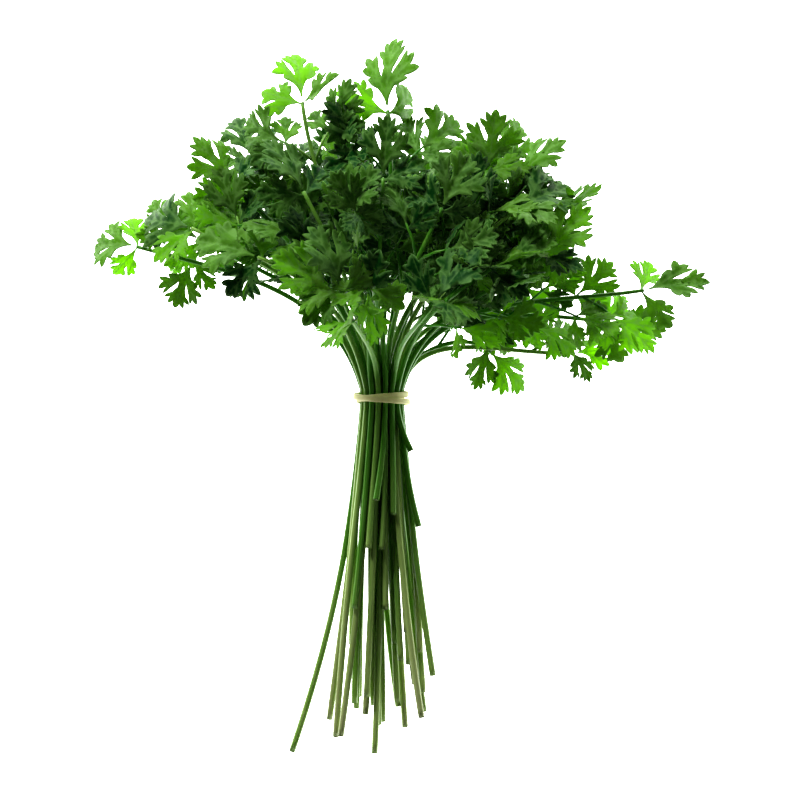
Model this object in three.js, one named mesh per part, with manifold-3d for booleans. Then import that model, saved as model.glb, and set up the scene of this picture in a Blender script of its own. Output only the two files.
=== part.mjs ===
// A bunch of flat-leaf parsley lying on its side: 37 sprigs held by one rubber band wound round twice.
// Millimetres. +Y runs along the bunch towards the leaf tips, +X to the right and +Z up.
// Each sprig grew as one piece, a long stalk with its side stalks and leaflets, so it is one solid.
// The layout is worked out round the middle of the band, and the group is then set down on z = 0.
import * as THREE from "three";
import { mergeVertices } from "three/addons/utils/BufferGeometryUtils.js";
import Module from "manifold-3d";

// Stalks.
const CUT_RADIUS = 1.5; // at the cut end
const TIE_RADIUS = 1.35; // where the band holds it
const HEAD_RADIUS = 0.85; // under the last leaflet
const SIDE_RADIUS = 0.7; // a side stalk
const STALK_GAP = 0.4; // between neighbours under the band
const STALK_SIDES = 6;
const SIDE_STALK_SIDES = 3;

// The bundle.
const RINGS = [1, 6, 12, 18]; // stalks in each ring round the middle one
const RING_TURN = [0, 0, 15, 0]; // where each ring starts, in degrees from the right-hand side
const TIE_HEIGHT = 30; // the bundle's axis above the surface, at the band
const BITE = 8; // length over which the band keeps the stalks straight
const LEG_SCALE = 1; // of every stalk's length below the band
const LEG_SPAN = 150; // the usual length below the band, over which the next four happen
const LEG_TWIST = 24; // turn of the whole bundle, in degrees
const LEG_SPREAD = 1.55; // how much wider the bundle gets
const LEG_FLARE = 1.05; // 1 widens it evenly, more keeps it narrow for longer
const LEG_DEEPEN = 0.2; // how much thicker it gets
const LEG_DROP = 16; // how far its axis comes down to the surface
const LEG_WANDER = 3; // how far a cut end lies from its even place, at most
const STRAY_POWER = 2.2; // how late down its length it strays
const LEG_BOW = 1.1; // how far a stalk bows out halfway down, at most

// Heads: each is the leafy end of one sprig, with three leaflets at its tip and one on each side stalk.
const CROWN_SCALE = 1; // of the whole spread of heads
const EXIT_LEAN = 15; // outward lean of an outermost stalk above the band, in degrees
const AIM_GAIN = 1.3; // a head leans over further than the line from the band to its tip
const LEAFLET_LENGTH = 29;
const LEAFLET_WIDTH = 25;
const LEAFLET_THICK = 0.7;
const LEAFLET_FOLD = 0.2; // rise of its margins, as a share of their distance from the midrib
const LEAFLET_PITCH = 28; // how far leaflets nod either way, in degrees
const LEAFLET_ROLL = 40; // how far they tilt sideways
const LEAFLET_HALF = [
  [0, -0.02],
  [0.46, 0.38],
  [0.4, 0.74],
  [0.17, 0.64],
  [0, 1],
]; // half its outline from foot to tip, in shares of its width and length
const LEAFLET_HULL = [0, 1, 2, 4]; // the corners that enclose that half
const LEAFLET_HEART = [0, 0.5]; // a point on the midrib that sees all of them
const PAIR_SHARE = 0.8; // size of the two beside a last leaflet
const PAIR_BACK = 0.12; // how far back they sit, in leaflet lengths
const PAIR_ANGLE = 62; // from the last leaflet, in degrees
const NODE_BACK = 31; // from the last leaflet back to where the side stalks leave
const SIDE_ANGLE = 42;
const SIDE_STALK = 19;
const SIDE_SHARE = 1.15; // size of a side stalk's own leaflet
const CLEARANCE = 0.3; // kept between any two sprigs
const STALK_DENT = 0.15; // kept between two stalks that rub
const SLIVER = 0.05; // edges shorter than this are closed up
const GRID = 0.002; // every vertex lies on it, so none comes close to another by rounding
const REST_GAP = 4; // leaves flatten over this height as they meet the surface

// The rubber band.
const BAND_WIDTH = 2.9;
const BAND_THICK = 1.2;
const BAND_GAP = 0.4; // between the band and the stalks
const BAND_SIDE = 0.72; // half the distance between its two turns, in widths
const BAND_OVER = 0.68; // half the step where they cross, in thicknesses
const BAND_CROSSING = 125; // where they cross, in degrees from the right-hand side
const BAND_STEPS = 56;
const BAND_SIDES = 6;

// Where each sprig's leaf tip lies from the middle of the band, ring by ring, anticlockwise from the right.
// aim is where the head points, in degrees from +Y towards +X, where it isn't the usual lean. size scales it.
// sides are the side stalks that it has, -1 to the right of the stalk and 1 to the left, where it hasn't both.
const HEADS = [
  [{ tip: [-1, 171, 10], aim: -6, size: 1.25 }],
  [
    { tip: [85, 123, 14] },
    { tip: [55, 133, 28], aim: 12 },
    { tip: [-40, 168, 24], aim: -6, size: 0.95 },
    { tip: [-74, 138, 6], aim: -28 },
    { tip: [-28, 132, -12] },
    { tip: [70, 136, -6], aim: 22 },
  ],
  [
    { tip: [102, 100, 20] },
    { tip: [88, 108, 38] },
    { tip: [40, 112, 50] },
    { tip: [2, 130, 42] },
    { tip: [-50, 122, 42] },
    { tip: [-88, 121, 20], aim: -42 },
    { tip: [-112, 90, -4], aim: -60, sides: [-1] },
    { tip: [-80, 104, -20], aim: -50, sides: [-1] },
    { tip: [-20, 124, -20] },
    { tip: [26, 130, -20] },
    { tip: [96, 66, -20], aim: 66 },
    { tip: [136, 32, -6], aim: 98, sides: [1] },
  ],
  [
    { tip: [154, 56, 10], aim: 80, sides: [-1] },
    { tip: [98, 86, 34], aim: 50 },
    { tip: [74, 74, 52] },
    { tip: [44, 70, 60], aim: 36, sides: [] },
    { tip: [-5, 22, 63], aim: 178, size: 0.85, sides: [] },
    { tip: [-26, 80, 62], aim: -14, sides: [-1] },
    { tip: [-52, 58, 56], aim: -76, sides: [-1] },
    { tip: [-86, 76, 46], aim: -68, sides: [-1] },
    { tip: [-118, 92, 22], aim: -66, sides: [-1] },
    { tip: [-142, 79, 2], aim: -74, size: 0.9, sides: [-1] },
    { tip: [-100, 43, -12], aim: -158, size: 0.75, sides: [] },
    { tip: [-88, 80, -22], aim: -62, sides: [-1] },
    { tip: [-52, 92, -26], aim: -30, sides: [-1] },
    { tip: [-10, 104, -27] },
    { tip: [49, 96, -28] },
    { tip: [74, 58, -25], aim: 76, sides: [1] },
    { tip: [70, 2, -12], aim: 138, size: 0.95, sides: [1] },
    { tip: [114, 24, -8], aim: 84, size: 0.7, sides: [1] },
  ],
];

// How far below the band each stalk is cut, in the same order.
const CUTS = [
  [171],
  [126, 101, 152, 148, 158, 118],
  [112, 152, 72, 143, 162, 147, 150, 136, 157, 147, 138, 128],
  [133, 61, 25, 55, 48, 71, 100, 163, 155, 171, 119, 145, 140, 150, 160, 152, 142, 122],
];

// Stalks whose cut end strays sideways from the bundle's spread, as "ring/place": [sideways, up].
const STRAYS = {
  "0/0": [-5, 3],
  "2/1": [13, 8],
  "2/4": [-6, 5],
  "3/0": [4, 0],
  "3/1": [4, 1],
  "3/2": [6, 2],
  "3/4": [-4, 4],
  "3/8": [-3, 0],
  "3/9": [-21, 3],
};

const radians = THREE.MathUtils.degToRad;
const wasm = await Module();
wasm.setup();

// A repeatable variation from -1 to 1 for one sprig. Each salt gives another.
function vary(sprig, salt) {
  const v = Math.sin(sprig.number * 12.9898 + salt * 78.233) * 43758.5453;
  return 2 * (v - Math.floor(v)) - 1;
}

// Leaves and stalks that come down to the surface flatten on it.
function settle(point) {
  const above = point.z + TIE_HEIGHT - REST_GAP;
  if (above < 0) point.z = REST_GAP * Math.exp(above / REST_GAP) - TIE_HEIGHT;
  return point;
}

// A geometry as a manifold-3d solid.
function solidOf(geometry) {
  const bare = geometry.clone();
  bare.deleteAttribute("normal");
  bare.deleteAttribute("uv");
  const merged = mergeVertices(bare, 1e-3);
  return new wasm.Manifold(
    new wasm.Mesh({
      numProp: 3,
      vertProperties: new Float32Array(merged.attributes.position.array),
      triVerts: new Uint32Array(merged.index.array),
    }),
  );
}

// A manifold-3d solid as a geometry, with its vertices moved onto the grid.
function geometryOf(solid) {
  const mesh = solid.getMesh();
  const positions = mesh.vertProperties.map(toGrid);
  return new THREE.BufferGeometry()
    .setAttribute("position", new THREE.BufferAttribute(positions, 3))
    .setIndex(new THREE.BufferAttribute(mesh.triVerts, 1));
}

function toGrid(value) {
  return Math.round(value / GRID) * GRID;
}

// Replaces each vertex of a geometry by what place returns for it.
function reshape(geometry, place) {
  const positions = geometry.attributes.position;
  const vertex = new THREE.Vector3();
  for (let i = 0; i < positions.count; i++) {
    const placed = place(vertex.fromBufferAttribute(positions, i).clone());
    positions.setXYZ(i, placed.x, placed.y, placed.z);
  }
  return geometry;
}

// A closed round tube through stations, each { point, radius }: a cylinder bent onto them.
function tube(stations, sides) {
  const steps = stations.length - 1;
  const tangents = stations.map((station, i) => {
    const before = stations[Math.max(i - 1, 0)].point;
    const after = stations[Math.min(i + 1, steps)].point;
    return after.clone().sub(before).normalize();
  });
  const up = new THREE.Vector3(0, 0, 1);
  return reshape(new THREE.CylinderGeometry(1, 1, 1, sides, steps), (vertex) => {
    const i = Math.round((vertex.y + 0.5) * steps);
    const across = new THREE.Vector3().crossVectors(tangents[i], up).normalize();
    const over = new THREE.Vector3().crossVectors(across, tangents[i]);
    return stations[i].point
      .clone()
      .addScaledVector(across, vertex.x * stations[i].radius)
      .addScaledVector(over, vertex.z * stations[i].radius);
  });
}

// One leaflet: a thin three-lobed plate, creased along its midrib.
function blade(frame, length, width, swell) {
  const half = swell > 0 ? LEAFLET_HULL.map((i) => LEAFLET_HALF[i]) : LEAFLET_HALF;
  const rim = [...half, ...half.slice(1, -1).reverse().map(([x, y]) => [-x, y])];
  const { root, forward, side, up } = rested(frame, length, width);
  const grown = 1 + (4 * swell) / width;
  const thick = LEAFLET_THICK + 2 * swell;
  const vertices = [];
  for (const face of [0.5, -0.5]) {
    for (const [x, y] of [LEAFLET_HEART, ...rim]) {
      const across = x * grown * width;
      const vertex = root
        .clone()
        .addScaledVector(forward, (0.5 + (y - 0.5) * grown) * length)
        .addScaledVector(side, across)
        .addScaledVector(up, LEAFLET_FOLD * Math.abs(across) + face * thick);
      vertices.push(...vertex.toArray());
    }
  }
  const lower = rim.length + 1;
  const faces = rim.flatMap((_, i) => {
    const [a, b] = [1 + i, 1 + ((i + 1) % rim.length)];
    return [0, a, b, lower, lower + b, lower + a, a, lower + a, b, b, lower + a, lower + b];
  });
  return new THREE.BufferGeometry()
    .setAttribute("position", new THREE.Float32BufferAttribute(vertices, 3))
    .setIndex(faces);
}

// A leaflet's frame turned so that no part of the leaflet goes into the surface.
function rested(frame, length, width) {
  const root = settle(frame.root.clone());
  const height = root.z + TIE_HEIGHT - LEAFLET_THICK;
  const forward = frame.forward.clone();
  forward.z = Math.max(forward.z, -height / length);
  forward.normalize();
  const side = frame.side.clone();
  const tilt = Math.min(height, height + forward.z * length) / (0.5 * width);
  side.z = THREE.MathUtils.clamp(side.z, -tilt, tilt);
  side.addScaledVector(forward, -side.dot(forward)).normalize();
  return { root, forward, side, up: new THREE.Vector3().crossVectors(side, forward) };
}

// The stalk's stations from its cut end, through the band, to the foot of its last leaflet.
function routeOf(sprig) {
  const stations = [];
  for (const share of [1, 0.72, 0.45, 0.2]) {
    stations.push({ point: legPoint(sprig, share * sprig.cut), radius: legRadius(share) });
  }
  for (const side of [-1, 1]) {
    stations.push({ point: bitePoint(sprig, side), radius: TIE_RADIUS });
  }
  for (const share of [0.25, 0.45, 0.62, 0.76, 0.89, 1]) {
    const radius = THREE.MathUtils.lerp(TIE_RADIUS, HEAD_RADIUS, share);
    stations.push({ point: settle(sprig.stalk.getPointAt(share)), radius });
  }
  stations.at(-1).point.addScaledVector(sprig.stalk.getTangentAt(1), HEAD_RADIUS);
  return stations;
}

function legRadius(share) {
  return THREE.MathUtils.lerp(TIE_RADIUS, CUT_RADIUS, share);
}

// A stalk's middle at some distance below the band.
function legPoint(sprig, distance) {
  const share = (distance - BITE / 2) / LEG_SPAN;
  const angle = sprig.angle + radians(LEG_TWIST) * share;
  const stray = STRAYS[sprig.key] ?? [0, 0];
  const strayShare = Math.pow(distance / sprig.cut, STRAY_POWER);
  const wander = LEG_WANDER * strayShare * Math.min(share, 1);
  const bow = LEG_BOW * Math.sin((Math.PI * distance) / sprig.cut) * Math.min(2 * share, 1);
  const spread = 1 + LEG_SPREAD * Math.pow(share, LEG_FLARE);
  return new THREE.Vector3(
    sprig.ring * Math.cos(angle) * spread +
      stray[0] * strayShare +
      wander * vary(sprig, 40) +
      bow * vary(sprig, 42),
    -distance,
    sprig.ring * Math.sin(angle) * (1 + LEG_DEEPEN * share) - LEG_DROP * share + stray[1] * strayShare,
  );
}

// A stalk's middle at the near end of the band's bite, side -1, or the far end, side 1.
function bitePoint(sprig, side) {
  const [cos, sin] = [Math.cos(sprig.angle), Math.sin(sprig.angle)];
  return new THREE.Vector3(sprig.ring * cos, (side * BITE) / 2, sprig.ring * sin);
}

// A leaflet's frame: where it is rooted, and which way it runs, lies and faces.
function leafletFrame(sprig, root, along, turn, salt) {
  const up = sprig.up.clone().projectOnPlane(along).normalize();
  const forward = along.clone().applyAxisAngle(up, radians(turn));
  const side = new THREE.Vector3().crossVectors(forward, up).normalize();
  forward.applyAxisAngle(side, radians(LEAFLET_PITCH * sprig.free * vary(sprig, salt)));
  side.applyAxisAngle(forward, radians(LEAFLET_ROLL * sprig.free * vary(sprig, salt + 1)));
  return { root, forward, side, up: new THREE.Vector3().crossVectors(side, forward).normalize() };
}

// One last leaflet with a smaller one to each side.
function threesome(sprig, root, along, share, salt, swell) {
  const length = LEAFLET_LENGTH * sprig.size * share;
  const width = LEAFLET_WIDTH * sprig.size * share;
  const blades = [blade(leafletFrame(sprig, root, along, 0, salt), length, width, swell)];
  for (const side of [-1, 1]) {
    const foot = root.clone().addScaledVector(along, -PAIR_BACK * length);
    const frame = leafletFrame(sprig, foot, along, side * PAIR_ANGLE, salt + 3 * side);
    blades.push(blade(frame, length * PAIR_SHARE, width * PAIR_SHARE, swell));
  }
  return blades.map(solidOf);
}

// The leafy end: three leaflets at the tip of the stalk, and a broad one on each side stalk.
function leafyEnd(sprig, swell) {
  const pieces = threesome(sprig, sprig.foot, sprig.stalk.getTangentAt(1), 1, 10, swell);
  const node = 1 - (NODE_BACK * sprig.size) / sprig.stalk.getLength();
  const root = sprig.stalk.getPointAt(node);
  for (const side of sprig.sides) {
    const along = sprig.stalk.getTangentAt(node);
    const { forward } = leafletFrame(sprig, root, along, side * SIDE_ANGLE, 20 + side);
    const end = root.clone().addScaledVector(forward, SIDE_STALK * sprig.size);
    const stations = [root, end].map((point) => ({
      point: settle(point.clone()),
      radius: SIDE_RADIUS + swell,
    }));
    pieces.push(solidOf(tube(stations, SIDE_STALK_SIDES)));
    const frame = leafletFrame(sprig, end, forward, 0, 30 + 10 * side);
    const [length, width] = [LEAFLET_LENGTH, LEAFLET_WIDTH].map((size) => size * sprig.size * SIDE_SHARE);
    pieces.push(solidOf(blade(frame, length, width, swell)));
  }
  return wasm.Manifold.union(pieces);
}

// The stalk alone, as a solid.
function stalkSolid(sprig, swell) {
  const stations = routeOf(sprig).map(({ point, radius }) => ({ point, radius: radius + swell }));
  return solidOf(tube(stations, STALK_SIDES));
}

// A plain four-sided solid that holds the stalk and the clearance round it.
function stalkCutter(sprig, clearance) {
  const stations = routeOf(sprig).map(({ point, radius }) => ({
    point,
    radius: (radius + clearance) * Math.SQRT2,
  }));
  return solidOf(tube(stations, 4));
}

const PITCH = 2 * TIE_RADIUS + STALK_GAP;

// Everything about one sprig that its geometry needs.
function planSprig(ringIndex, place, number) {
  const plan = HEADS[ringIndex][place];
  const sprig = { number, key: `${ringIndex}/${place}`, size: (plan.size ?? 1) * CROWN_SCALE };
  sprig.sides = plan.sides ?? [-1, 1];
  sprig.ring = ringIndex * PITCH;
  sprig.angle = radians(RING_TURN[ringIndex] + (360 * place) / RINGS[ringIndex]);
  sprig.cut = CUTS[ringIndex][place] * LEG_SCALE;
  const tip = new THREE.Vector3(...plan.tip).multiplyScalar(CROWN_SCALE);
  const tie = bitePoint(sprig, 1);
  const chord = tip.clone().sub(tie);
  const aim = radians(plan.aim ?? AIM_GAIN * THREE.MathUtils.radToDeg(Math.atan2(chord.x, chord.y)));
  const dip = Math.atan2(chord.z, Math.hypot(chord.x, chord.y)) * 0.25 - radians(6);
  const heading = new THREE.Vector3(
    Math.sin(aim) * Math.cos(dip),
    Math.cos(aim) * Math.cos(dip),
    Math.sin(dip),
  );
  sprig.size *= 1 + 0.08 * vary(sprig, 20);
  sprig.foot = tip.clone().addScaledVector(heading, -LEAFLET_LENGTH * sprig.size);
  const lean = radians(EXIT_LEAN) * (ringIndex / 3);
  const exit = new THREE.Vector3(
    Math.sin(lean) * Math.cos(sprig.angle),
    Math.cos(lean),
    Math.sin(lean) * Math.sin(sprig.angle),
  );
  const reach = sprig.foot.distanceTo(tie);
  sprig.stalk = new THREE.CubicBezierCurve3(
    tie,
    tie.clone().addScaledVector(exit, reach * 0.4),
    sprig.foot.clone().addScaledVector(heading, -reach * 0.36),
    sprig.foot,
  );
  sprig.free = THREE.MathUtils.smoothstep(tip.z, -TIE_HEIGHT, 0.4 * TIE_HEIGHT);
  sprig.up = new THREE.Vector3(
    sprig.free * (0.3 * Math.cos(sprig.angle) + 0.5 * vary(sprig, 30)),
    sprig.free * (0.35 + 0.5 * vary(sprig, 31)),
    1,
  ).normalize();
  return sprig;
}

function overlapping(a, b) {
  const [p, q] = [a.boundingBox(), b.boundingBox()];
  return [0, 1, 2].every((k) => p.min[k] < q.max[k] && q.min[k] < p.max[k]);
}

function without(solid, other) {
  return overlapping(solid, other) ? solid.subtract(other) : solid;
}

// The largest body of a solid: what a neighbour has cut off, or hangs by a thread, is left out.
function largest(solid) {
  let bodies = solid.simplify(SLIVER).decompose();
  do {
    const best = bodies.reduce((a, b) => (a.volume() >= b.volume() ? a : b));
    bodies = solidOf(geometryOf(best)).simplify(SLIVER).decompose();
  } while (bodies.length > 1);
  return bodies[0];
}

// Whether each edge still lies between just two faces once its vertices are on the grid.
function isSimple(solid) {
  const index = mergeVertices(geometryOf(solid), 1e-3).index.array;
  const faces = new Map();
  for (let i = 0; i < index.length; i += 3) {
    const [a, b, c] = index.slice(i, i + 3);
    if (a === b || b === c || c === a) continue;
    for (const edge of [[a, b], [b, c], [c, a]]) {
      const key = edge.sort((p, q) => p - q).join();
      faces.set(key, (faces.get(key) ?? 0) + 1);
    }
  }
  return [...faces.values()].every((count) => count === 2);
}

// A sprig's solid: its leafy end gives way to every other stalk and to the leafy ends before it, and its
// stalk is pressed in where it rubs on a stalk before it.
function cutSprig(sprigs, i, clearance) {
  let leafy = leafyEnd(sprigs[i], 0);
  let stalk = stalkSolid(sprigs[i], 0);
  sprigs.forEach((other, j) => {
    if (j !== i) leafy = without(leafy, stalkCutter(other, clearance));
    if (j >= i) return;
    leafy = without(leafy, leafyEnd(other, clearance));
    if (rubs(stalk, stalkSolid(other, 0))) stalk = stalk.subtract(stalkSolid(other, STALK_DENT));
  });
  return largest(stalk.add(leafy));
}

function rubs(solid, other) {
  return overlapping(solid, other) && solid.intersect(other).volume() > 0;
}

// The sprigs' solids. A cut that leaves one touching itself along an edge is made again a little wider.
function sprigSolids(sprigs) {
  return sprigs.map((_, i) => {
    let clearance = CLEARANCE;
    let solid = cutSprig(sprigs, i, clearance);
    while (!isSimple(solid)) {
      clearance += 0.1 * CLEARANCE;
      solid = cutSprig(sprigs, i, clearance);
    }
    return solid;
  });
}

// The rubber band: a closed loop that goes round twice and crosses itself once.
function bandGeometry() {
  const inner = 3 * PITCH + TIE_RADIUS + BAND_GAP;
  const ring = new THREE.TorusGeometry(1, 1, BAND_SIDES, BAND_STEPS);
  const positions = ring.attributes.position;
  for (let i = 0; i < positions.count; i++) {
    const turn = ((i % (BAND_STEPS + 1)) / BAND_STEPS) * 4 * Math.PI;
    const round = (Math.floor(i / (BAND_STEPS + 1)) / BAND_SIDES) * 2 * Math.PI;
    const over = (Math.sin(turn / 2) + 1) * BAND_OVER * BAND_THICK + (Math.cos(round) * BAND_THICK) / 2;
    const radius = inner + BAND_THICK / 2 + over;
    const angle = radians(BAND_CROSSING) + Math.PI + turn;
    const y = Math.cos(turn / 2) * BAND_SIDE * BAND_WIDTH + (Math.sin(round) * BAND_WIDTH) / 2;
    positions.setXYZ(i, radius * Math.cos(angle), -y, radius * Math.sin(angle));
  }
  return ring;
}

function named(name, geometry, colour, roughness) {
  const material = new THREE.MeshStandardMaterial({ color: colour, roughness, metalness: 0 });
  const mesh = new THREE.Mesh(geometry, material);
  mesh.name = name;
  return mesh;
}

const sprigs = RINGS.flatMap((count, ring) => Array.from({ length: count }, (_, place) => [ring, place])).map(
  ([ring, place], i) => planSprig(ring, place, i + 1),
);
const bunch = new THREE.Group();
const LEAF_GREENS = [0x2f6b1e, 0x3a7d22, 0x276118, 0x468c2a];
sprigSolids(sprigs).forEach((solid, i) => {
  const name = `sprig_${String(i + 1).padStart(2, "0")}`;
  bunch.add(named(name, geometryOf(solid), LEAF_GREENS[i % LEAF_GREENS.length], 0.55));
});
bunch.add(named("rubber_band", bandGeometry(), 0xd9cf8e, 0.7));

// Set down with the middle of its underside at the origin.
const box = new THREE.Box3().setFromObject(bunch);
const middle = box.getCenter(new THREE.Vector3());
bunch.position.set(-toGrid(middle.x), -toGrid(middle.y), -toGrid(box.min.z));

export default bunch;
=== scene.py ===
"""A bunch of flat-leaf parsley lying on its side, held by a rubber band wound round it twice."""

from __future__ import annotations

import logging
import math
from dataclasses import dataclass
from enum import Enum
from typing import Union

import bpy
import numpy as np
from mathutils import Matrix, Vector
from mathutils.geometry import delaunay_2d_cdt


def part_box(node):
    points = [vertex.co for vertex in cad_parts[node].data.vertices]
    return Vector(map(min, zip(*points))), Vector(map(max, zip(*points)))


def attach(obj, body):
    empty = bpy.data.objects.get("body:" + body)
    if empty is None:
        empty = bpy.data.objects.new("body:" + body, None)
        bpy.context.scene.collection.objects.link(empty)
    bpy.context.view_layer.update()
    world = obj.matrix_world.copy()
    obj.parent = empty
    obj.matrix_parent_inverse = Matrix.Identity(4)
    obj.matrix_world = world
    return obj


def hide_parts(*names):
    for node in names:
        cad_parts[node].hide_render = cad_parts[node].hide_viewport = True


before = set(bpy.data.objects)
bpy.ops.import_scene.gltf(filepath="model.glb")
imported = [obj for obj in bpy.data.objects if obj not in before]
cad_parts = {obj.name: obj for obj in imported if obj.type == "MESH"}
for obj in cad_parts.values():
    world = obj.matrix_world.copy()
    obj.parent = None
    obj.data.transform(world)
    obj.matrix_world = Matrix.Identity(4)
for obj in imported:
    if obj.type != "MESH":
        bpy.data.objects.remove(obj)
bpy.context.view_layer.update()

logging.basicConfig(level=logging.INFO, format="%(message)s")
LOG = logging.getLogger("parsley")

MM = 0.001
ROOT = "root"

Array = np.ndarray
Object = bpy.types.Object
Material = bpy.types.Material
Socket = bpy.types.NodeSocket
Colour = tuple[float, float, float]


@dataclass(frozen=True)
class Bundle:
    """The layout that all stalks share: millimetres from the middle of the band, and degrees."""

    rings: tuple[int, ...] = (1, 6, 12, 18)
    ring_turn: tuple[float, ...] = (0.0, 0.0, 15.0, 0.0)
    cut_radius: float = 1.5
    tie_radius: float = 1.35
    head_radius: float = 0.85
    stalk_gap: float = 0.4
    bite: float = 8.0
    leg_span: float = 150.0
    leg_twist: float = 24.0
    leg_spread: float = 1.55
    leg_flare: float = 1.05
    leg_deepen: float = 0.2
    leg_drop: float = 16.0
    leg_wander: float = 3.0
    leg_bow: float = 1.1
    stray_power: float = 2.2
    exit_lean: float = 15.0
    exit_reach: float = 0.4
    head_reach: float = 0.36
    aim_gain: float = 1.3
    dip_share: float = 0.25
    dip: float = 6.0
    tie_height: float = 30.0
    leaflet_length: float = 29.0

    @property
    def pitch(self) -> float:
        """Distance from one ring of stalks to the next."""
        return 2 * self.tie_radius + self.stalk_gap

    @property
    def radius(self) -> float:
        """Outside of the bundle where the band holds it."""
        return 3 * self.pitch + self.tie_radius


@dataclass(frozen=True)
class Branch:
    """A pair of small leafy side stalks: how far back it grows, how it leaves and its size."""

    back: float
    angle: float
    reach: float
    radii: tuple[float, ...]
    share: float
    bend: float
    salt: int


OUTER = Branch(31.0, 42.0, 19.0, (0.75, 0.62, 0.5), 0.84, 1.5, 20)
INNER = (
    Branch(52.0, 34.0, 23.75, (0.7, 0.6, 0.45), 0.76, 1.0, 120),
    Branch(74.0, 34.0, 23.75, (0.7, 0.6, 0.45), 0.76, 1.0, 150),
)


@dataclass(frozen=True)
class Head:
    """Where one sprig's leaf tip lies from the middle of the band, and how its head points."""

    tip: tuple[float, float, float]
    aim: float | None = None
    size: float = 1.0
    sides: tuple[int, ...] = (-1, 1)
    tone: float = 0.0
    bushy: bool = False


# One head and one length below the band for each sprig, ring by ring.
HEADS: tuple[Head, ...] = (
    Head((-1, 171, 10), -6, 1.25),
    Head((85, 123, 14)),
    Head((55, 133, 28), 12),
    Head((-40, 168, 24), -6, 0.95, (-1, 1), 0.2),
    Head((-74, 138, 6), -28),
    Head((-28, 132, -12)),
    Head((70, 136, -6), 22),
    Head((102, 100, 20)),
    Head((88, 108, 38)),
    Head((40, 112, 50)),
    Head((2, 130, 42), None, 1.0, (-1, 1), 0.5),
    Head((-50, 122, 42)),
    Head((-88, 121, 20), -42),
    Head((-112, 90, -4), -60, 1.0, (-1,)),
    Head((-80, 104, -20), -50, 1.0, (-1,)),
    Head((-20, 124, -20)),
    Head((26, 130, -20)),
    Head((96, 66, -20), 66),
    Head((136, 32, -6), 98, 1.0, (1,), -0.3, True),
    Head((154, 56, 10), 80, 1.0, (-1,), -0.2, True),
    Head((98, 86, 34), 50),
    Head((74, 74, 52)),
    Head((44, 70, 60), 36, 1.0, ()),
    Head((-5, 22, 63), 178, 0.85, (), 1.2),
    Head((-26, 80, 62), -14, 1.0, (-1,), 0.0, True),
    Head((-52, 58, 56), -76, 1.0, (-1,), 0.5),
    Head((-86, 76, 46), -68, 1.0, (-1,)),
    Head((-118, 92, 22), -66, 1.0, (-1,)),
    Head((-142, 79, 2), -74, 0.9, (-1,)),
    Head((-100, 43, -12), -158, 0.75, ()),
    Head((-88, 80, -22), -62, 1.0, (-1,), 0.5),
    Head((-52, 92, -26), -30, 1.0, (-1,), 0.5),
    Head((-10, 104, -27)),
    Head((49, 96, -28)),
    Head((74, 58, -25), 76, 1.0, (1,)),
    Head((70, 2, -12), 138, 0.95, (1,)),
    Head((114, 24, -8), 84, 0.7, (1,), -0.3),
)

CUTS: tuple[float, ...] = (
    *(171, 126, 101, 152, 148, 158, 118),
    *(112, 152, 72, 143, 162, 147, 150, 136, 157, 147, 138, 128),
    *(133, 61, 25, 55, 48, 71, 100, 163, 155, 171, 119, 145, 140, 150, 160, 152, 142, 122),
)

# How far a cut end strays to the side and up, by ring and place in it.
STRAYS: dict[tuple[int, int], tuple[float, float]] = {
    (0, 0): (-5.0, 3.0),
    (2, 1): (13.0, 8.0),
    (2, 4): (-6.0, 5.0),
    (3, 0): (4.0, 0.0),
    (3, 1): (4.0, 1.0),
    (3, 2): (6.0, 2.0),
    (3, 4): (-4.0, 4.0),
    (3, 8): (-3.0, 0.0),
    (3, 9): (-21.0, 3.0),
}


def vary(number: int, salt: float) -> float:
    """A repeatable variation from -1 to 1 for one sprig; each salt gives another."""
    value = math.sin(number * 12.9898 + salt * 78.233) * 43758.5453
    return 2 * (value - math.floor(value)) - 1


def unit(vector: Array) -> Array:
    """The vector scaled to length 1."""
    return vector / np.linalg.norm(vector)


def turned(vector: Array, axis: Array, angle: float) -> Array:
    """A vector turned about an axis.

    Args:
        vector: What to turn.
        axis: A unit vector.
        angle: Radians, by the right-hand rule.

    Returns:
        The turned vector.
    """
    cos, sin = math.cos(angle), math.sin(angle)
    return vector * cos + np.cross(axis, vector) * sin + axis * np.dot(axis, vector) * (1 - cos)


class Value:
    """A shader socket that carries a number, with arithmetic that adds Math nodes."""

    def __init__(self, graph: Graph, socket: Socket) -> None:
        """Wraps an output socket of a graph."""
        self.graph, self.socket = graph, socket

    def _math(self, operation: str, first: Value | float, second: Value | float) -> Value:
        """The output of a new Math node for two operands."""
        node = self.graph.node("ShaderNodeMath", {0: first, 1: second}, operation=operation)
        return Value(self.graph, node.outputs[0])

    def __add__(self, other: Value | float) -> Value:
        """Self plus other."""
        return self._math("ADD", self, other)

    def __radd__(self, other: float) -> Value:
        """Other plus self."""
        return self._math("ADD", other, self)

    def __sub__(self, other: Value | float) -> Value:
        """Self minus other."""
        return self._math("SUBTRACT", self, other)

    def __rsub__(self, other: float) -> Value:
        """Other minus self."""
        return self._math("SUBTRACT", other, self)

    def __mul__(self, other: Value | float) -> Value:
        """Self times other."""
        return self._math("MULTIPLY", self, other)

    def __rmul__(self, other: float) -> Value:
        """Other times self."""
        return self._math("MULTIPLY", other, self)

    def __pow__(self, other: float) -> Value:
        """Self to a power."""
        return self._math("POWER", self, other)


Feed = Union[Value, Socket, float, tuple]


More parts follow.
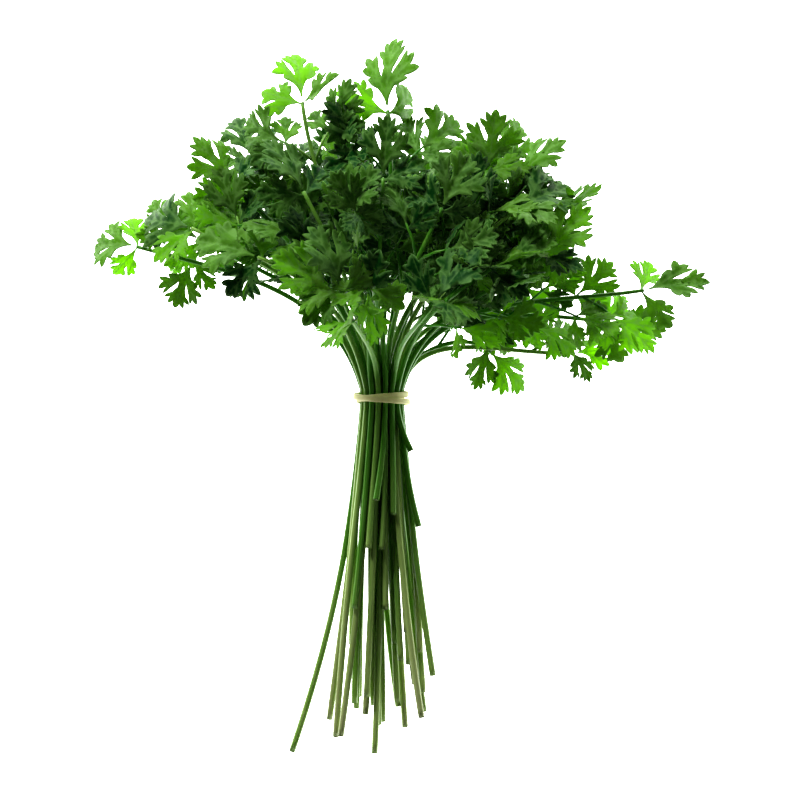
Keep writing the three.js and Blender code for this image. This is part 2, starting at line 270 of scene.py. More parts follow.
class Graph:
    """One material's node tree."""

    def __init__(self, name: str) -> None:
        """Starts an empty material.

        Args:
            name: The material's name.
        """
        self.material = bpy.data.materials.new(name)
        self.material.use_nodes = True
        self.tree = self.material.node_tree
        self.tree.nodes.clear()

    def node(self, kind: str, values: dict, **settings: str | bool) -> bpy.types.Node:
        """Adds a node.

        Args:
            kind: The node's type.
            values: What each input socket, by name or place, holds or is linked to.
            settings: Its own settings, set first.

        Returns:
            The node.
        """
        made = self.tree.nodes.new(kind)
        for key, setting in settings.items():
            setattr(made, key, setting)
        for key, value in values.items():
            self.feed(made.inputs[key], value)
        return made

    def feed(self, socket: Socket, value: Feed) -> None:
        """Links or sets one input socket.

        Args:
            socket: The input.
            value: A value or socket to link, or a constant.
        """
        if isinstance(value, Value):
            value = value.socket
        if isinstance(value, Socket):
            self.tree.links.new(value, socket)
        elif isinstance(value, tuple) and len(value) == 3 and socket.type == "RGBA":
            socket.default_value = (*value, 1.0)
        else:
            socket.default_value = value

    def mix(self, factor: Value | float, low: Feed, high: Feed) -> Socket:
        """Mixes two colours.

        Args:
            factor: 0 for low, 1 for high.
            low: A colour.
            high: Another.

        Returns:
            The mixed colour's socket.
        """
        values = {0: factor, 6: low, 7: high}
        return self.node("ShaderNodeMix", values, data_type="RGBA", clamp_factor=True).outputs[2]

    def shader(self, kind: str, values: dict) -> Socket:
        """Adds a surface shader of one kind."""
        return self.node(f"ShaderNodeBsdf{kind}", values).outputs[0]

    def lit(self, share: Value | float, solid: Feed, glow: Feed) -> Material:
        """Ends the tree with a solid shader that lets a share of light through as a glow."""
        mixed = self.node("ShaderNodeMixShader", {0: share, 1: solid, 2: glow})
        return self.surface(mixed.outputs[0])

    def attribute(self, name: str) -> Value:
        """A number stored on the mesh under a name."""
        node = self.node("ShaderNodeAttribute", {}, attribute_name=name)
        return Value(self, node.outputs["Fac"])

    def noise(self, scale: float, detail: float = 2.0, stretch: Colour = (1, 1, 1)) -> Value:
        """Soft random blotches, from 0 to 1.

        Args:
            scale: Blotches in a metre.
            detail: Levels of finer blotches.
            stretch: How much denser they lie along each axis.

        Returns:
            The noise.
        """
        place = self.node("ShaderNodeTexCoord", {}).outputs["Object"]
        placed = self.node("ShaderNodeMapping", {"Vector": place, "Scale": stretch})
        values = {"Vector": placed.outputs[0], "Scale": scale, "Detail": detail}
        return Value(self, self.node("ShaderNodeTexNoise", values).outputs[0])

    def bump(self, height: Value, depth: float, strength: float = 1.0) -> Socket:
        """A normal roughened by a height.

        Args:
            height: From 0 to 1.
            depth: Metres between the two.
            strength: Share of it that shows.

        Returns:
            The normal.
        """
        values = {"Height": height, "Distance": depth, "Strength": strength}
        return self.node("ShaderNodeBump", values).outputs[0]

    def surface(self, shader: Socket) -> Material:
        """Ends the tree with a surface shader.

        Args:
            shader: The shader's socket.

        Returns:
            The finished material.
        """
        self.node("ShaderNodeOutputMaterial", {"Surface": shader})
        return self.material


class Side(Enum):
    """Which face of a leaf a finish is for."""

    UPPER = "upper"
    UNDER = "under"


@dataclass(frozen=True)
class LeafFinish:
    """Thin green leaf with paler veins that lets light through."""

    side: Side
    # The lighter and darker greens: each leaflet's own green lies between them, and they also carry
    # painted light at the crown's rim and painted shade deep inside it.
    young_and_lit: Colour
    old_and_shaded: Colour
    vein: Colour
    roughness: float
    glow: Colour = (0.42, 0.78, 0.04)
    through: float = 0.62
    sheen: Colour = (0.5, 0.85, 0.4)

    def material(self) -> Material:
        """Makes the material.

        Returns:
            The material.
        """
        g = Graph(f"leaf_{self.side.value}")
        tone = g.attribute("tone")
        cloud = g.noise(90.0, 3.0)
        speck = g.noise(900.0, 2.0)
        # The blend follows the tone, which holds each leaflet's own random green and also painted
        # shade deep in the crown and painted light at its rim.
        blend = (tone * 0.55 + 0.42) + (cloud - 0.5) * 0.5
        body = g.mix(blend, self.old_and_shaded, self.young_and_lit)
        body = g.mix((speck - 0.5) * 0.35, body, self.young_and_lit)
        vein = g.attribute("vein") ** 2.2 * (blend * 0.55 + 0.4)
        margin = g.attribute("margin")
        body = g.mix((1 - margin) * 0.3, body, self.vein)
        colour = g.mix(vein * 0.75, body, self.vein)
        normal = g.bump(speck + vein * 0.6, 0.00025, 0.55)
        values = {
            "Base Color": colour,
            "Roughness": (cloud - 0.5) * 0.16 + self.roughness,
            "Specular IOR Level": 0.12,
            "Specular Tint": self.sheen,
            "Normal": normal,
        }
        glow = g.shader("Translucent", {"Color": self.glow, "Normal": normal})
        share = (blend * 0.95 + 0.06) * self.through * (1 - vein * 0.4)
        return g.lit(share, g.shader("Principled", values), glow)


@dataclass(frozen=True)
class StalkFinish:
    """Ribbed juicy stalk, greener towards the leaves and duller at the cut end."""

    green: Colour = (0.035, 0.19, 0.008)
    pale: Colour = (0.37, 0.55, 0.13)
    dull: Colour = (0.33, 0.31, 0.19)
    glow: Colour = (0.3, 0.55, 0.06)
    through: float = 0.12
    sheen: Colour = (0.6, 0.9, 0.4)

    def material(self) -> Material:
        """Makes the material.

        Returns:
            The material.
        """
        g = Graph("stalk")
        tone = g.attribute("tone")
        ridge = g.attribute("ridge")
        foot = g.attribute("foot")
        streak = g.noise(260.0, 3.0, (1.0, 0.12, 1.0))
        body = g.mix((streak - 0.5) * 0.7 + tone * 0.38 + 0.06 + foot * 0.66, self.green, self.pale)
        body = g.mix(ridge * (0.12 + foot * 0.43), body, self.pale)
        colour = g.mix(foot * ((streak - 0.3) * 0.7 + tone * 0.35 + 0.25), body, self.dull)
        normal = g.bump(streak + ridge * 0.4, 0.0003, 0.5)
        values = {
            "Base Color": colour,
            "Roughness": 0.3 + streak * 0.14,
            "Specular IOR Level": 0.35,
            "Specular Tint": self.sheen,
            "Normal": normal,
        }
        glow = g.shader("Translucent", {"Color": self.glow})
        return g.lit(self.through, g.shader("Principled", values), glow)


@dataclass(frozen=True)
class CutFinish:
    """Freshly cut end of a stalk, with a paler pith."""

    rind: Colour = (0.22, 0.33, 0.10)
    pith: Colour = (0.62, 0.68, 0.42)

    def material(self) -> Material:
        """Makes the material.

        Returns:
            The material.
        """
        g = Graph("stalk_cut")
        pith = g.attribute("pith")
        grain = g.noise(2500.0, 2.0)
        colour = g.mix(pith * 0.9 + (grain - 0.5) * 0.4, self.rind, self.pith)
        values = {"Base Color": colour, "Roughness": 0.5, "Normal": g.bump(grain, 0.0002, 0.6)}
        return g.surface(g.shader("Principled", values))


@dataclass(frozen=True)
class BandFinish:
    """Natural rubber, cream with a green cast, faintly see-through and dusty."""

    body: Colour = (0.62, 0.60, 0.24)
    light: Colour = (0.86, 0.86, 0.48)
    glow: Colour = (0.75, 0.68, 0.2)
    through: float = 0.2

    def material(self) -> Material:
        """Makes the material.

        Returns:
            The material.
        """
        g = Graph("rubber")
        dust = g.noise(1500.0, 3.0)
        cloud = g.noise(160.0, 2.0)
        colour = g.mix(dust * 0.5 + cloud * 0.6 - 0.1, self.body, self.light)
        values = {
            "Base Color": colour,
            "Roughness": 0.5 + dust * 0.2,
            "Normal": g.bump(dust, 0.00015, 0.5),
        }
        glow = g.shader("Translucent", {"Color": self.glow})
        return g.lit(self.through, g.shader("Principled", values), glow)


@dataclass(frozen=True)
class TableFinish:
    """White lit table top."""

    shade: Colour = (0.9, 0.9, 0.9)
    lit: float = 3.4

    def material(self) -> Material:
        """Makes the material.

        Returns:
            The material.
        """
        g = Graph("table_top")
        values = {
            "Base Color": self.shade,
            "Roughness": 0.9,
            "Specular IOR Level": 0.0,
            "Emission Color": (1.0, 1.0, 1.0),
            "Emission Strength": self.lit,
        }
        return g.surface(g.shader("Principled", values))


class Slot(Enum):
    """The finishes on a sprig, in the order of its material slots."""

    STALK = 0
    CUT = 1
    UPPER = 2
    UNDER = 3


ATTRIBUTES = ("tone", "vein", "margin", "ridge", "foot", "pith")


class Shell:
    """Gathers vertices, faces and stored numbers, and makes one mesh of them."""

    def __init__(self) -> None:
        """Starts empty."""
        self.points: list[Array] = []
        self.faces: list[Array] = []
        self.slots: list[Array] = []
        self.smooth: list[Array] = []
        self.numbers: dict[str, list[Array]] = {name: [] for name in ATTRIBUTES}
        self.count = 0

    def add(self, points: Array, numbers: dict[str, Array | float]) -> int:
        """Adds vertices.

        Args:
            points: Their places in millimetres.
            numbers: Stored numbers by name; the others are 0.

        Returns:
            The index of the first.
        """
        first = self.count
        self.points.append(points)
        for name in ATTRIBUTES:
            value = numbers.get(name, 0.0)
            self.numbers[name].append(np.broadcast_to(np.asarray(value, float), len(points)))
        self.count += len(points)
        return first

    def skin(self, faces: Array, slot: Slot, smooth: bool = True) -> None:
        """Adds faces of one shape.

        Args:
            faces: Rows of vertex indices, three or four in each.
            slot: Their finish.
            smooth: Whether they are shaded smooth.
        """
        self.faces.append(faces)
        self.slots.append(np.full(len(faces), slot.value))
        self.smooth.append(np.full(len(faces), smooth))

    def piece(self, name: str, origin: Array) -> Object:
        """Makes the object.

        Args:
            name: Its name.
            origin: The band's middle in the row's frame, in millimetres.

        Returns:
            The object.
        """
        mesh = bpy.data.meshes.new(name)
        points = (np.concatenate(self.points) + origin) * MM
        sizes = np.concatenate([np.full(len(f), f.shape[1]) for f in self.faces])
        corners = np.concatenate([f.ravel() for f in self.faces])
        mesh.vertices.add(len(points))
        mesh.vertices.foreach_set("co", points.ravel())
        mesh.loops.add(len(corners))
        mesh.loops.foreach_set("vertex_index", corners.astype(np.int32))
        mesh.polygons.add(len(sizes))
        starts = np.cumsum(sizes) - sizes
        mesh.polygons.foreach_set("loop_start", starts.astype(np.int32))
        mesh.polygons.foreach_set("material_index", np.concatenate(self.slots).astype(np.int32))
        mesh.polygons.foreach_set("use_smooth", np.concatenate(self.smooth))
        for key, parts in self.numbers.items():
            stored = mesh.attributes.new(key, "FLOAT", "POINT")
            stored.data.foreach_set("value", np.concatenate(parts).astype(np.float32))
        mesh.update(calc_edges=True)
        mesh.validate()
        made = bpy.data.objects.new(name, mesh)
        bpy.context.scene.collection.objects.link(made)
        return made


@dataclass(frozen=True)
class Half:
    """Half a leaflet's outline, foot to tip: across, along, and how far the edge up to there bows.

    The lobe and the crest tell which corners are the teeth of the side lobe and of the middle lobe.
    """

    corners: tuple[tuple[float, float, float], ...]
    lobe: tuple[int, ...]
    crest: tuple[int, ...]


BROAD = Half(
    corners=(
        (0.016, 0.0, 0.0), (0.03, 0.07, 0.0), (0.17, 0.24, -0.06), (0.39, 0.34, 0.06),
        (0.33, 0.405, 0.1), (0.545, 0.49, 0.11), (0.405, 0.54, 0.13), (0.5, 0.7, 0.12),
        (0.35, 0.64, 0.12), (0.325, 0.765, 0.11), (0.225, 0.61, 0.06), (0.095, 0.4, 0.0),
        (0.105, 0.55, 0.0), (0.17, 0.68, 0.04), (0.29, 0.81, 0.1), (0.165, 0.775, 0.12),
        (0.19, 0.93, 0.11), (0.085, 0.87, 0.12), (0.0, 1.0, 0.12),
    ),
    lobe=(3, 5, 7, 9),
    crest=(14, 16),
)
SLIM = Half(
    corners=(
        (0.014, 0.0, 0.0), (0.022, 0.09, 0.0), (0.13, 0.33, -0.05), (0.33, 0.43, 0.12),
        (0.28, 0.5, 0.12), (0.42, 0.6, 0.16), (0.29, 0.63, 0.14), (0.315, 0.765, 0.14),
        (0.2, 0.66, 0.05), (0.1, 0.55, 0.0), (0.12, 0.67, 0.0), (0.24, 0.855, 0.14),
        (0.12, 0.845, 0.14), (0.0, 1.0, 0.12),
    ),
    lobe=(3, 5, 7),
    crest=(11,),
)


@dataclass
class Blade:
    """A flat leaflet, one unit long, cut into small triangles along its veins."""

    left: Half
    right: Half
    seed: int
    widen: tuple[float, float]
    step: float = 0.035
    grid: float = 0.06
    across_vary: float = 0.09
    along_vary: float = 0.018
    vein_width: float = 0.012
    margin_width: float = 0.03
    quilt_width: float = 0.06

    def __post_init__(self) -> None:
        """Draws the outline and the veins, and fills them with triangles."""
        right = self.jittered(self.right, self.widen[1], 1)
        left = self.jittered(self.left, self.widen[0], 2)
        outline = np.concatenate([self.bowed(right), (self.bowed(left) * (-1, 1))[::-1][1:]])
        lines = [self.walk(np.array([(0, 0.01), (0, 0.5), (0, 0.975)]))]
        lines += self.veins(right, self.right)
        lines += [line * (-1, 1) for line in self.veins(left, self.left)]
        self.fill(outline, lines)

    def jittered(self, half: Half, widen: float, salt: int) -> Array:
        """The half outline with each corner moved a little.

        Args:
            half: The outline.
            widen: Times its width.
            salt: Tells the two halves apart.

        Returns:
            The moved corners.
        """
        corners = np.array(half.corners)
        for i in range(2, len(corners) - 1):
            corners[i, 0] *= 1 + self.across_vary * vary(self.seed * 31 + i, salt)
            corners[i, 1] += self.along_vary * vary(self.seed * 17 + i, salt + 5)
        corners[2:, 0] *= widen
        return corners

    def bowed(self, corners: Array) -> Array:
        """Points along a half outline, each edge bowed.

        Args:
            corners: As across, along, bow.

        Returns:
            Points from foot to tip.
        """
        points = [corners[0, :2]]
        for before, after in zip(corners[:-1], corners[1:]):
            start, end, bow = before[:2], after[:2], after[2]
            chord = end - start
            middle = (start + end) / 2 + np.array([chord[1], -chord[0]]) * bow * 2
            steps = max(2, round(np.linalg.norm(chord) / self.step))
            for t in np.linspace(0, 1, steps + 1)[1:]:
                points.append(start * (1 - t) ** 2 + middle * 2 * t * (1 - t) + end * t**2)
        return np.array(points)

    def walk(self, line: Array) -> Array:
        """Points a step apart along a line of corners.

        Args:
            line: Its corners.

        Returns:
            The points.
        """
        lengths = np.linalg.norm(np.diff(line, axis=0), axis=1)
        along = np.concatenate([[0], np.cumsum(lengths)])
        at = np.linspace(0, along[-1], max(2, round(along[-1] / (self.step * 1.4)) + 1))
        return np.stack([np.interp(at, along, line[:, k]) for k in (0, 1)], axis=1)

    def veins(self, corners: Array, half: Half) -> list[Array]:
        """The side veins of one half: a fan into its side lobe, and a few off the midrib.

        Args:
            corners: The half outline, moved.
            half: The half, for its teeth.

        Returns:
            Lines of points.
        """
        lobe = half.lobe
        hub = np.array([0.0, 0.13])
        main = corners[lobe[len(lobe) // 2], :2]
        knee = hub + (main - hub) * (0.45, 0.55)
        lines = [self.walk(np.array([hub, knee, hub + (main - hub) * 0.96]))]
        for i, tip in enumerate(lobe):
            if tip == lobe[len(lobe) // 2]:
                continue
            start = hub + (knee - hub) * (0.62 + 0.3 * i / len(lobe))
            end = start + (corners[tip, :2] - start) * 0.95
            lines.append(self.walk(np.array([start, (start + end) / 2 + (0, 0.01), end])))
        for tip in half.crest:
            end = corners[tip, :2] * (0.94, 0.99)
            start = np.array([0.0, end[1] - 0.16 - 0.75 * end[0]])
            lines.append(self.walk(np.array([start, (start + end) / 2 + (0, -0.012), end])))
        return lines

    def fill(self, outline: Array, lines: list[Array]) -> None:
        """Triangulates the inside, and measures how far each point is from veins and rim.

        Args:
            outline: The closed outline.
            lines: The veins.
        """
        veins = np.concatenate(lines)
        rows = np.arange(0.02, 1.0, self.grid * 0.866)
        inner = np.array([
            (x + (0.5 * self.grid if r % 2 else 0), y)
            for r, y in enumerate(rows)
            for x in np.arange(-0.66, 0.66, self.grid)
        ])
        inner = inner[inside(outline, inner)]
        near = np.minimum(nearest(inner, outline), nearest(inner, veins))
        inner = inner[near > self.grid * 0.42]
        points = np.concatenate([outline, veins, inner])
        n = len(outline)
        edges = [(i, (i + 1) % n) for i in range(n)]
        for line in lines:
            edges += [(n + i, n + i + 1) for i in range(len(line) - 1)]
            n += len(line)
        made, _, faces, *_ = delaunay_2d_cdt([Vector(p) for p in points], edges, [], 0, 1e-4)
        flat, faces = np.array([tuple(p) for p in made]), np.array(faces)
        faces = faces[inside(outline, flat[faces].mean(axis=1))]
        used, kept = np.unique(faces, return_inverse=True)
        self.faces = kept.reshape(-1, 3)
        self.flat = flat[used]
        sides = [self.faces[:, pair] for pair in ([0, 1], [1, 2], [2, 0])]
        directed = np.concatenate(sides).tolist()
        seen = {tuple(edge) for edge in directed}
        self.rim = np.array([edge for edge in directed if (edge[1], edge[0]) not in seen])
        from_vein = nearest(self.flat, veins)
        self.vein = np.exp(-((from_vein / self.vein_width) ** 2))
        self.margin = np.clip(nearest(self.flat, outline) / self.margin_width, 0, 1)
        self.quilt = 1 - np.exp(-((from_vein / self.quilt_width) ** 2))


def inside(outline: Array, points: Array) -> Array:
    """Which points lie inside a closed outline.

    Args:
        outline: Its corners.
        points: The points.

    Returns:
        One truth value for each point.
    """
    found = np.zeros(len(points), bool)
    for (x0, y0), (x1, y1) in zip(outline, np.roll(outline, -1, axis=0)):
        crosses = (y0 > points[:, 1]) != (y1 > points[:, 1])
        with np.errstate(divide="ignore", invalid="ignore"):
            at = x0 + (points[:, 1] - y0) / (y1 - y0) * (x1 - x0)
        found ^= crosses & (points[:, 0] < at)
    return found


def nearest(points: Array, targets: Array) -> Array:
    """Each point's distance from the nearest of some targets."""
    return np.sqrt(((points[:, None] - targets[None]) ** 2).sum(-1)).min(1)


@dataclass(frozen=True)
class Pose:
    """How one leaflet bends: angles in radians, the rest in shares of its length."""

    arch: float
    fold: float
    curl: float
    twist: float
    wave: float
    phase: float


@dataclass(frozen=True)
class Place:
    """Where a leaflet is rooted, and which way it runs, lies and faces."""

    root: Array
    forward: Array
    side: Array
    up: Array


@dataclass
class Sprig:
    """One sprig: its stalk from the cut end through the band to its leaves."""

    ring: int
    turn: int
    number: int
    floor: float
    blades: dict[str, list[Blade]]
    bundle: Bundle = Bundle()
    leaf_thick: float = 0.28
    rest: float = 3.0
    flat_gap: float = 0.25
    rib: float = 0.045
    stalk_corners: int = 16
    leg_stations: int = 34
    head_stations: int = 121
    side_corners: int = 8
    branch_room: float = 1.5
    pith_share: float = 0.72
    cut_depth: float = 0.12
    pair_share: float = 0.8
    pair_angle: float = 62.0
    pair_back: float = 0.12
    pitch_vary: float = 28.0
    roll_vary: float = 40.0
    tilt_vary: float = 0.5
    size_vary: float = 0.08
    free_share: float = 0.4
    lightest: float = 1.1
    crown: tuple[float, float, float] = (84.0, 150.0, 88.0)
    # Painted shade deep in the crown and painted light at its rim, as the tones inside and at the
    # rim.
    painted_crown_tones: tuple[float, float] = (-0.74, 0.66)
    quilt_share: float = 0.034
    flattest: float = 0.05

    def __post_init__(self) -> None:
        """Lays the sprig out."""
        bundle = self.bundle
        self.head = head = HEADS[self.number - 1]
        self.away = self.ring * bundle.pitch
        turn = bundle.ring_turn[self.ring] + 360 * self.turn / bundle.rings[self.ring]
        self.angle = math.radians(turn)
        self.cut = CUTS[self.number - 1]
        self.stray = STRAYS.get((self.ring, self.turn), (0.0, 0.0))
        tip = np.array(head.tip, float)
        tie = self.bite(1)
        chord = tip - tie
        usual = bundle.aim_gain * math.degrees(math.atan2(chord[0], chord[1]))
        aim = math.radians(usual if head.aim is None else head.aim)
        rise = math.atan2(chord[2], math.hypot(chord[0], chord[1]))
        dip = rise * bundle.dip_share - math.radians(bundle.dip)
        level = math.cos(dip)
        heading = np.array([math.sin(aim) * level, math.cos(aim) * level, math.sin(dip)])
        self.size = head.size * (1 + self.size_vary * self.vary(20))
        foot = tip - heading * bundle.leaflet_length * self.size
        lean = math.radians(bundle.exit_lean) * self.ring / 3
        out, over = math.cos(self.angle), math.sin(self.angle)
        exit_way = np.array([math.sin(lean) * out, math.cos(lean), math.sin(lean) * over])
        reach = float(np.linalg.norm(foot - tie))
        low, high = -bundle.tie_height, self.free_share * bundle.tie_height
        free = min(max((tip[2] - low) / (high - low), 0.0), 1.0)
        self.free = free * free * (3 - 2 * free)
        tilt = (0.3 * out + self.tilt_vary * self.vary(30), 0.35 + self.tilt_vary * self.vary(31))
        self.up = unit(np.array([self.free * tilt[0], self.free * tilt[1], 1.0]))
        t = np.linspace(0, 1, self.head_stations)[:, None]
        reins = (
            (tie, (1 - t) ** 3),
            (tie + exit_way * reach * bundle.exit_reach, 3 * t * (1 - t) ** 2),
            (foot - heading * reach * bundle.head_reach, 3 * t * t * (1 - t)),
            (foot, t**3),
        )
        self.curve = self.settled(sum(weight * point for point, weight in reins))
        lengths = np.linalg.norm(np.diff(self.curve, axis=0), axis=1)
        self.along = np.concatenate([[0], np.cumsum(lengths)])
        self.shell = Shell()

    def vary(self, salt: float) -> float:
        """A repeatable variation from -1 to 1 for this sprig."""
        return vary(self.number, salt)

    def settled(self, points: Array) -> Array:
        """Points with those that would sink flattened onto the surface.

        Args:
            points: Places from the middle of the band.

        Returns:
            The places, moved up where needed.
        """
        moved = np.array(points, float)
        above = moved[:, 2] - self.floor - self.rest
        low = above < 0
        soft = (self.rest - self.flat_gap) * np.exp(above[low] / self.rest)
        moved[low, 2] = self.floor + self.flat_gap + soft
        return moved

    def bite(self, side: int) -> Array:
        """The stalk's middle at the near (-1) or far (1) end of the band's bite."""
        along = side * self.bundle.bite / 2
        return np.array([self.away * math.cos(self.angle), along, self.away * math.sin(self.angle)])

    def leg(self, distance: float) -> Array:
        """The stalk's middle at some distance below the band.

        Args:
            distance: Millimetres from the middle of the band.

        Returns:
            The place.
        """
        bundle = self.bundle
        share = max(distance - bundle.bite / 2, 0) / bundle.leg_span
        angle = self.angle + math.radians(bundle.leg_twist) * share
        stray = (distance / self.cut) ** bundle.stray_power
        wander = bundle.leg_wander * stray * min(share, 1.0) * self.vary(40)
        swing = math.sin(math.pi * distance / self.cut) * min(2 * share, 1.0)
        bow = bundle.leg_bow * swing * self.vary(42)
        spread = 1 + bundle.leg_spread * share**bundle.leg_flare
        sideways = self.away * math.cos(angle) * spread + self.stray[0] * stray + wander + bow
        deepen = 1 + bundle.leg_deepen * share
        height = self.away * math.sin(angle) * deepen - bundle.leg_drop * share
        return np.array([sideways, -distance, height + self.stray[1] * stray])

    def at(self, back: float) -> tuple[Array, Array]:
        """The stalk's place and direction at a distance back from its last leaflet.

        Args:
            back: Millimetres along the stalk.

        Returns:
            The place and the direction.
        """
        s = max(self.along[-1] - back, 0)
        spots = [
            np.array([np.interp(q, self.along, self.curve[:, k]) for k in range(3)])
            for q in (s - 1, s, s + 1)
        ]
        return spots[1], unit(spots[2] - spots[0])

    def build(self, origin: Array) -> Object:
        """Grows the stalk and all its leaves.

        Args:
            origin: The band's middle in the row's frame, in millimetres.

        Returns:
            The object, still without its finishes.
        """
        self.grow_stalk()
        tip, along = self.at(0)
        self.group(tip, along, 1.0, 10)
        bushy = self.head.bushy or len(self.head.sides) > 1
        for branch in (OUTER, *INNER) if bushy else (OUTER,):
            self.grow_branch(branch)
        return self.shell.piece(f"parsley_{self.number:02d}", origin)

    def grow_branch(self, branch: Branch) -> None:
        """Grows a pair of small side stalks, or the one the head asks for.

        Args:
            branch: The pair.
        """
        if self.along[-1] < branch.back * self.branch_room:
            return
        root, along = self.at(branch.back * self.size)
        for side in self.head.sides:
            way = self.place(root, along, side * branch.angle, branch.salt + side).forward
            end = root + way * branch.reach * self.size
            bend = (root + end) / 2 + unit(along) * branch.bend
            self.tube(np.array([root, bend, end]), np.array(branch.radii), self.side_corners)
            self.group(end, way, branch.share, branch.salt + 10 + 10 * side)

    def grow_stalk(self) -> None:
        """Makes the ribbed stalk and its cut end."""
        bundle = self.bundle
        down = np.linspace(self.cut, bundle.bite / 2, self.leg_stations)
        legs = np.array([self.leg(d) for d in down])
        head = self.curve[2::4]
        path = np.concatenate([legs, [self.bite(1)], head])
        wider = (bundle.cut_radius - bundle.tie_radius) / bundle.leg_span
        slimmer = np.linspace(bundle.tie_radius, bundle.head_radius, len(head))
        radii = np.concatenate([bundle.tie_radius + wider * down, [bundle.tie_radius], slimmer])
        foot = np.clip(-path[:, 1] / bundle.leg_span, 0, 1) ** 1.3
        self.tube(path, radii, self.stalk_corners, ribs=self.rib, foot=foot, cut=True)

    def tube(
        self, path: Array, radii: Array, sides: int,
        ribs: float = 0.0, foot: Array | float = 0.0, cut: bool = False,
    ) -> None:
        """Adds a round stalk along a path.

        Args:
            path: Its middle.
            radii: Its radius at each point of the path.
            sides: Corners round it.
            ribs: Height of its ribs as a share of its radius.
            foot: How near each point is to the cut end.
            cut: Whether it starts with a cut face.
        """
        path = self.settled(path)
        tangents = np.gradient(path, axis=0)
        tangents /= np.linalg.norm(tangents, axis=1)[:, None]
        across = np.cross(tangents[0], (0.0, 0.0, 1.0))
        frames = []
        for tangent in tangents:
            across = unit(across - tangent * np.dot(across, tangent))
            frames.append((across, np.cross(across, tangent)))
        turn = np.arange(sides) * 2 * math.pi / sides
        ridge = np.where(np.arange(sides) % 2 == 0, 1.0, 0.0)
        wide = 1 + ribs * (2 * ridge - 1)
        rings = [
            point + radius * wide[:, None] * (np.cos(turn)[:, None] * a + np.sin(turn)[:, None] * b)
            for point, radius, (a, b) in zip(path, radii, frames)
        ]
        numbers = {
            "tone": self.vary(50),
            "ridge": np.tile(ridge if ribs else ridge * 0, len(path)),
            "foot": np.repeat(np.broadcast_to(foot, len(path)), sides),
        }
        first = self.shell.add(np.concatenate(rings), numbers)
        i = np.arange(sides)
        j = (i + 1) % sides
        band = first + np.stack([i + sides, j + sides, j, i], axis=1)
        quads = [band + r * sides for r in range(len(path) - 1)]
        self.shell.skin(np.concatenate(quads), Slot.STALK)
        last = first + (len(path) - 1) * sides
        peak = path[-1:] + tangents[-1] * radii[-1] * 0.4
        middle = np.full(sides, self.shell.add(peak, {"tone": self.vary(50)}))
        self.shell.skin(np.stack([middle, last + j, last + i], axis=1), Slot.STALK)
        sunk = path[:1] + tangents[0] * (self.cut_depth if cut else 0.0)
        ends = {"tone": self.vary(50), "foot": 1.0}
        inner = self.shell.add((rings[0] - path[0]) * self.pith_share + sunk, ends | {"pith": 0.8})
        core = np.full(sides, self.shell.add(sunk, ends | {"pith": 1.0}))
        slot = Slot.CUT if cut else Slot.STALK
        self.shell.skin(np.stack([inner + j, inner + i, first + i, first + j], axis=1), slot, False)
        self.shell.skin(np.stack([core, inner + i, inner + j], axis=1), slot, False)

    def place(self, root: Array, along: Array, turn: float, salt: float) -> Place:
        """Where and how a leaflet sits on a stalk.

        Args:
            root: Its foot.
            along: The stalk's direction there.
            turn: Degrees between the two, to the left.
            salt: Its own variation.

        Returns:
            Its place.
        """
        up = unit(self.up - along * np.dot(self.up, along))
        forward = turned(along, up, math.radians(turn))
        side = unit(np.cross(forward, up))
        forward = turned(forward, side, math.radians(self.pitch_vary * self.free * self.vary(salt)))
        side = turned(side, forward, math.radians(self.roll_vary * self.free * self.vary(salt + 1)))
        return Place(root, forward, side, unit(np.cross(side, forward)))

    def group(self, root: Array, along: Array, share: float, salt: float) -> None:
        """Three leaflets: the last one and one to each side of it.

        Args:
            root: Foot of the last.
            along: The stalk's direction there.
            share: Size as a share of the sprig's end leaflet.
            salt: Their own variation.
        """
        length = self.bundle.leaflet_length * self.size * share
        self.leaflet(self.place(root, along, 0, salt), length, salt, 0)
        foot = root - along * self.pair_back * length
        for side in (-1, 1):
            place = self.place(foot, along, side * self.pair_angle, salt + 3 * side)
            self.leaflet(place, length * self.pair_share, salt + 3 * side, side)

    def leaflet(self, place: Place, length: float, salt: float, side: int) -> None:
        """Adds one leaflet.

        Args:
            place: Where it sits.
            length: Its length.
            salt: Its own variation.
            side: 0 for a last leaflet, -1 or 1 for one to the right or left.
        """
        pick = int((self.vary(salt + 60) + 1) * 50)
        kinds = self.blades[("end", "left", "right")[side]]
        blade = kinds[pick % len(kinds)]
        pose = Pose(
            arch=0.35 + 0.5 * self.vary(salt + 61),
            fold=0.22 + 0.3 * self.vary(salt + 62),
            curl=0.25 + 0.4 * self.vary(salt + 63),
            twist=0.45 * self.vary(salt + 64),
            wave=0.05 + 0.03 * self.vary(salt + 65),
            phase=3.1 * self.vary(salt + 66),
        )
        width = length * (0.95 + 0.12 * self.vary(salt + 67))
        middle = self.bent(blade, pose, length, width)
        world = (
            place.root
            + middle[:, :1] * place.side
            + middle[:, 1:2] * place.forward
            + middle[:, 2:] * place.up
        )
        world = self.settled(world)
        corners = world[blade.faces]
        crossed = np.cross(corners[:, 1] - corners[:, 0], corners[:, 2] - corners[:, 0])
        normals = np.zeros_like(world)
        for k in range(3):
            np.add.at(normals, blade.faces[:, k], crossed)
        normals /= np.linalg.norm(normals, axis=1)[:, None] + 1e-9
        # A leaflet's tone: its own random green, painted shade deep in the crown with painted light
        # at its rim, and its head's own tone.
        tone = 0.75 * self.vary(salt + 70) + self.crown_shade(world.mean(0)) + self.head.tone
        tone = min(tone, self.lightest)
        numbers = {"tone": tone, "vein": blade.vein, "margin": blade.margin}
        top = self.shell.add(world + normals * self.leaf_thick / 2, numbers)
        under = self.shell.add(world - normals * self.leaf_thick / 2, numbers)
        a, b = blade.rim.T
        self.shell.skin(blade.faces + top, Slot.UPPER)
        self.shell.skin(blade.faces[:, ::-1] + under, Slot.UNDER)
        edge = np.stack([under + a, under + b, top + b, top + a], axis=1)
        self.shell.skin(edge, Slot.UPPER, False)

